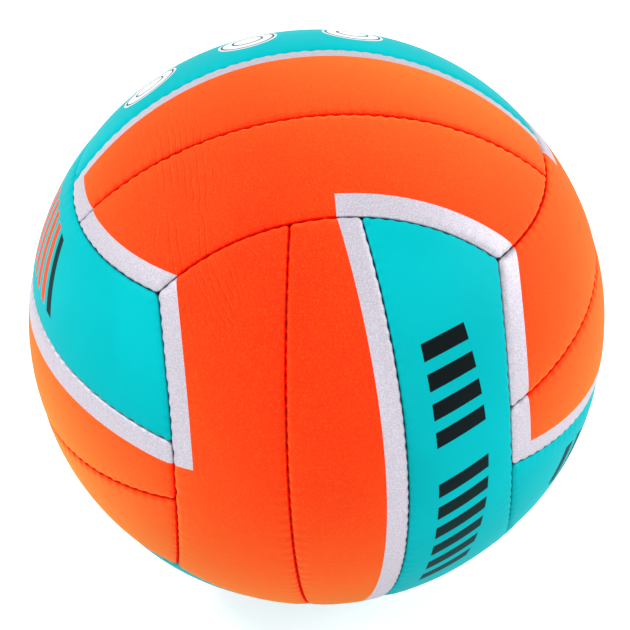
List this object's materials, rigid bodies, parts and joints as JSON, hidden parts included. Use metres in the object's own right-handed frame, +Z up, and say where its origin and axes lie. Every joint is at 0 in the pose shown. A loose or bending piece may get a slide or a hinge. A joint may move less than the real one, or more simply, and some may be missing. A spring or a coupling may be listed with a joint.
{
  "type": "volleyball",
  "caption": "Indoor volleyball with long padded cover panels in orange and turquoise sewn over foam and cloth, around a rubber bladder with an inflation valve.",
  "frame": {"origin": "centre of the ball", "axes": "+Z up, -Y towards the front, where the strips run up and down; +Y along the valve, out of its mouth"},
  "size_m": [0.21, 0.21, 0.21],
  "materials": {
    "orange_cover": "soft-touch synthetic leather, fine matte grain",
    "turquoise_cover": "smooth matte synthetic leather",
    "foam": "closed-cell foam",
    "lining_cloth": "woven cotton",
    "thread": "waxed sewing thread",
    "bladder_rubber": "matte",
    "valve_rubber": "matte"
  },
  "bodies": {
    "ball": {"top_front_panel": "orange_cover", "top_front_foam": "foam", "top_front_lining": "lining_cloth", "top_middle_panel": "orange_cover", "top_middle_foam": "foam", "top_middle_lining": "lining_cloth", "top_rear_panel": "turquoise_cover", "top_rear_foam": "foam", "top_rear_lining": "lining_cloth", "bottom_rear_panel": "orange_cover", "bottom_rear_foam": "foam", "bottom_rear_lining": "lining_cloth", "bottom_middle_panel": "orange_cover", "bottom_middle_foam": "foam", "bottom_middle_lining": "lining_cloth", "bottom_front_panel": "turquoise_cover", "bottom_front_foam": "foam", "bottom_front_lining": "lining_cloth", "right_lower_panel": "turquoise_cover", "right_lower_foam": "foam", "right_lower_lining": "lining_cloth", "right_middle_panel": "orange_cover", "right_middle_foam": "foam", "right_middle_lining": "lining_cloth", "right_upper_panel": "orange_cover", "right_upper_foam": "foam", "right_upper_lining": "lining_cloth", "left_lower_panel": "orange_cover", "left_lower_foam": "foam", "left_lower_lining": "lining_cloth", "left_middle_panel": "orange_cover", "left_middle_foam": "foam", "left_middle_lining": "lining_cloth", "left_upper_panel": "turquoise_cover", "left_upper_foam": "foam", "left_upper_lining": "lining_cloth", "back_left_panel": "turquoise_cover", "back_left_foam": "foam", "back_left_lining": "lining_cloth", "back_middle_panel": "orange_cover", "back_middle_foam": "foam", "back_middle_lining": "lining_cloth", "back_right_panel": "orange_cover", "back_right_foam": "foam", "back_right_lining": "lining_cloth", "front_right_panel": "turquoise_cover", "front_right_foam": "foam", "front_right_lining": "lining_cloth", "front_middle_panel": "orange_cover", "front_middle_foam": "foam", "front_middle_lining": "lining_cloth", "front_left_panel": "orange_cover", "front_left_foam": "foam", "front_left_lining": "lining_cloth", "edge_seam_thread": "thread", "strip_seam_thread": "thread", "bladder": "bladder_rubber", "valve_housing": "valve_rubber"},
    "valve_plug": {"valve_plug": "valve_rubber"}
  },
  "joints": [
    {"name": "plug_pull", "type": "slide", "parent": "ball", "child": "valve_plug", "axis": [0, 1, 0], "range_m": [0, 0.03]}
  ]
}
